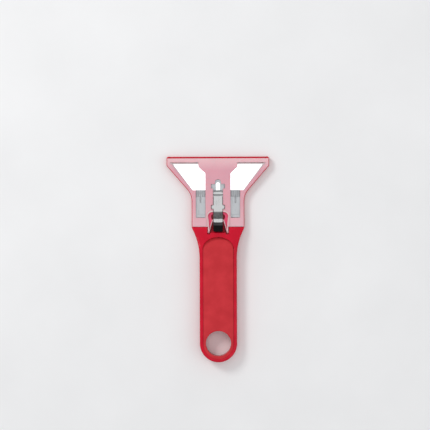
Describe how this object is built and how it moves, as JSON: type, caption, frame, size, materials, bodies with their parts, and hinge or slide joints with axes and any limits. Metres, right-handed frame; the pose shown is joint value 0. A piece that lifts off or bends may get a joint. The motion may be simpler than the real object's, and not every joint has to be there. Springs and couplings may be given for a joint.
{
  "type": "retractable blade scraper",
  "caption": "Hand scraper for ceramic hobs: a wide blade slides out of a flared head under a windowed hinged cover, worked by a sprung thumb button on a flat handle with a hanging hole.",
  "frame": {"origin": "centre of the outline on the plane that the scraper's back rests on", "axes": "+Y along the scraper from the hanging hole to the blade mouth, +Z out of the front face, +X across"},
  "size_m": [0.0672, 0.1344, 0.011],
  "materials": {
    "red_plastic": "gloss moulded plastic",
    "red_grip": "matt soft grip",
    "pink_cover": "translucent milky pink",
    "blade_steel": "bright rolled steel",
    "sheet_steel": "zinc plated sheet",
    "spring_steel": "satin spring steel",
    "rivet_steel": "satin",
    "black_plastic": "satin black moulded plastic"
  },
  "bodies": {
    "handle": {"handle_body": "red_plastic", "grip_pad_front": "red_grip", "grip_pad_back": "red_grip"},
    "cover": {"head_cover": "pink_cover"},
    "carriage": {"carrier_plate": "sheet_steel", "blade": "blade_steel", "blade_clip": "spring_steel", "clip_rivets": "rivet_steel"},
    "lever": {"lock_lever": "spring_steel", "thumb_button": "black_plastic"}
  },
  "joints": [
    {"name": "blade_slide", "type": "slide", "parent": "handle", "child": "carriage", "axis": [0, 1, 0], "range_m": [0, 0.0137]},
    {"name": "button_press", "type": "hinge", "parent": "carriage", "child": "lever", "pos_m": [0, 0.041, 0.00375], "axis": [-1, 0, 0], "range_deg": [-1.5, 7], "stiffness_Nm_per_rad": 0.4, "springref_deg": 7},
    {"name": "cover_hinge", "type": "hinge", "parent": "handle", "child": "cover", "pos_m": [0, 0.0179, 0.0048], "axis": [1, 0, 0], "range_deg": [0, 95]}
  ]
}
